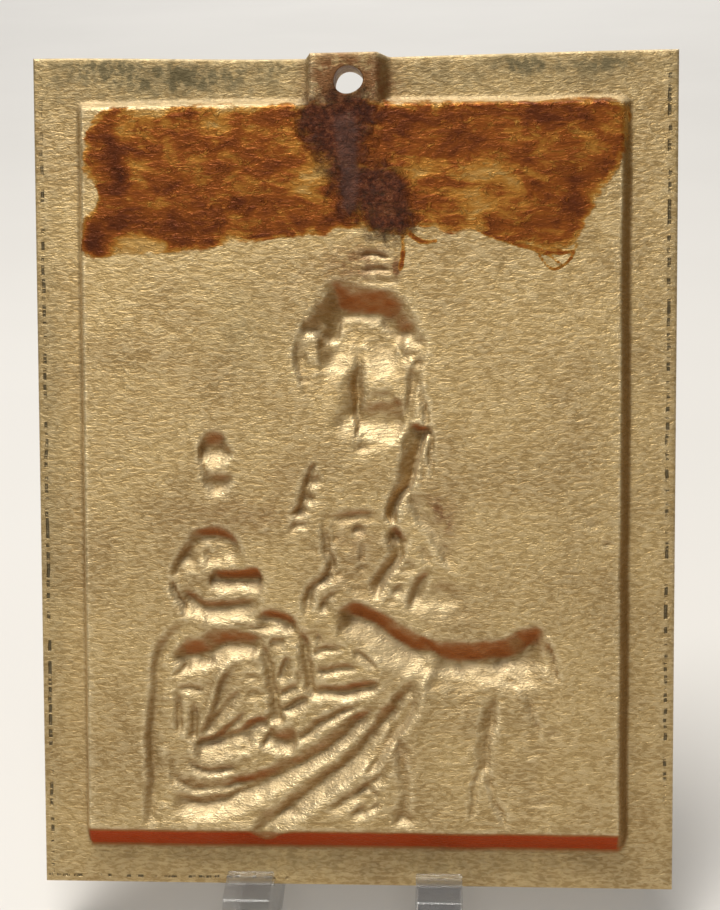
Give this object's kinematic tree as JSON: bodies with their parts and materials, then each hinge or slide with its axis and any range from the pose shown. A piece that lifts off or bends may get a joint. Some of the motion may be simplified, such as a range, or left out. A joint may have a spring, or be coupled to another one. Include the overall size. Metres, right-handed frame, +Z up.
{
  "type": "devotional plaque",
  "caption": "Small cast brass devotional plaque seen from its back, with a raised panel, robed figures sunk into it and a drilled hanging boss, leaning on a clear display easel.",
  "frame": {"origin": "middle of the whole part, on the surface that the easel stands on", "axes": "+Z up, -Y the way the shown back of the plaque faces, +X to the right seen from that side"},
  "size_m": [0.07, 0.052, 0.0942],
  "materials": {
    "cast_brass": "pale sand-cast brass with a fine grain, brown in the hollows, with amber glue residue across the top of the panel",
    "clear_plastic": "clear moulded acrylic, polished"
  },
  "bodies": {
    "root": {"plaque": "cast_brass", "display_easel": "clear_plastic"}
  },
  "joints": []
}
